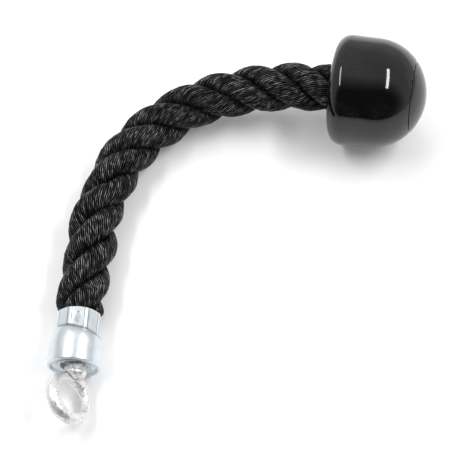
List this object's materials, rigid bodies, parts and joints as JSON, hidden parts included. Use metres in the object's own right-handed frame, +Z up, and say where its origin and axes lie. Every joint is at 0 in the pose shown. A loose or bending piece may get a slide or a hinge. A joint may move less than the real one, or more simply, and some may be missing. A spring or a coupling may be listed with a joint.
{
  "type": "triceps rope attachment",
  "caption": "Short laid rope with a swivel eye in a crimped metal ferrule on one end and a round moulded stopper on the other, a handle for a cable machine.",
  "frame": {"origin": "on the surface it lies on, under the middle of the part's bounding box", "axes": "+Z up from the surface, +Y from the eye towards the rope's bow, +X from the ferrule towards the stopper"},
  "size_m": [0.2161, 0.2357, 0.0666],
  "materials": {
    "black_rope": "black laid synthetic rope",
    "zinc": "satin zinc plate",
    "rough_steel": "rough galvanised steel",
    "black_plastic": "glossy black"
  },
  "bodies": {
    "rope": {"rope_strand_1": "black_rope", "rope_strand_2": "black_rope", "rope_strand_3": "black_rope", "ferrule_sleeve": "zinc", "rope_stop_disc": "rough_steel", "stopper_bell": "black_plastic", "dome_cap": "black_plastic", "clamp_washer": "rough_steel", "rope_end_clamp": "rough_steel"},
    "eye": {"eye_bolt": "rough_steel", "swivel_nut": "rough_steel", "thrust_washer": "rough_steel"}
  },
  "joints": [
    {"name": "eye_swivel", "type": "hinge", "parent": "rope", "child": "eye", "pos_m": [-0.0904, -0.05188, 0.01468], "axis": [-0.0593, -0.9982, 0], "continuous": true}
  ]
}
